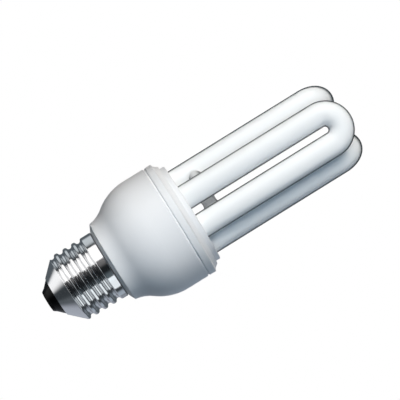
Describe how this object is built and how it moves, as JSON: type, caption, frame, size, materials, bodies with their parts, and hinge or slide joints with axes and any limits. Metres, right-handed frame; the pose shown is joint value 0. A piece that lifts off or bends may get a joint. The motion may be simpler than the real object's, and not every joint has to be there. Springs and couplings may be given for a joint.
{
  "type": "compact fluorescent lamp",
  "caption": "Compact fluorescent lamp: white glass U tubes joined by bridges, on a round white ballast housing with a bright metal screw cap.",
  "frame": {"origin": "middle of the centre contact's face, at the bottom of the screw cap", "axes": "+Z along the lamp's axis from the cap to the tubes; one U tube stands on the -Y side, its plane square to Y"},
  "size_m": [0.045, 0.045, 0.127],
  "materials": {
    "tinned_contact": "tinned brass, dull",
    "black_glass": "opaque black glass, glossy",
    "nickel_plated_shell": "rolled and nickel plated, bright",
    "white_housing": "moulded white plastic, fine satin",
    "coated_glass": "clear glass over a white phosphor coating, glossy",
    "cement": "matt white cement",
    "board": "phenolic paper board",
    "sleeve": "shrunk film sleeve",
    "ferrite": "ground ferrite",
    "copper_winding": "enamelled copper wire",
    "black_moulding": "moulded epoxy",
    "film_dip": "dipped epoxy",
    "resistor_lacquer": "lacquered ceramic",
    "tinned_wire": "tinned copper"
  },
  "bodies": {
    "root": {"centre_contact": "tinned_contact", "cap_insulator": "black_glass", "screw_shell": "nickel_plated_shell", "ballast_housing": "white_housing", "tube_cover": "white_housing", "discharge_tube": "coated_glass", "tube_cement": "cement", "circuit_board": "board", "smoothing_capacitor": "sleeve", "choke_core": "ferrite", "toroid_core": "ferrite", "choke_winding": "copper_winding", "toroid_winding": "copper_winding", "switching_transistors": "black_moulding", "rectifier_diodes": "black_moulding", "resonant_capacitor": "film_dip", "coupling_capacitor": "film_dip", "fuse_resistor": "resistor_lacquer", "contact_wire": "tinned_wire", "shell_wire": "tinned_wire", "electrode_leads": "tinned_wire", "wrap_posts": "tinned_wire"}
  },
  "joints": []
}
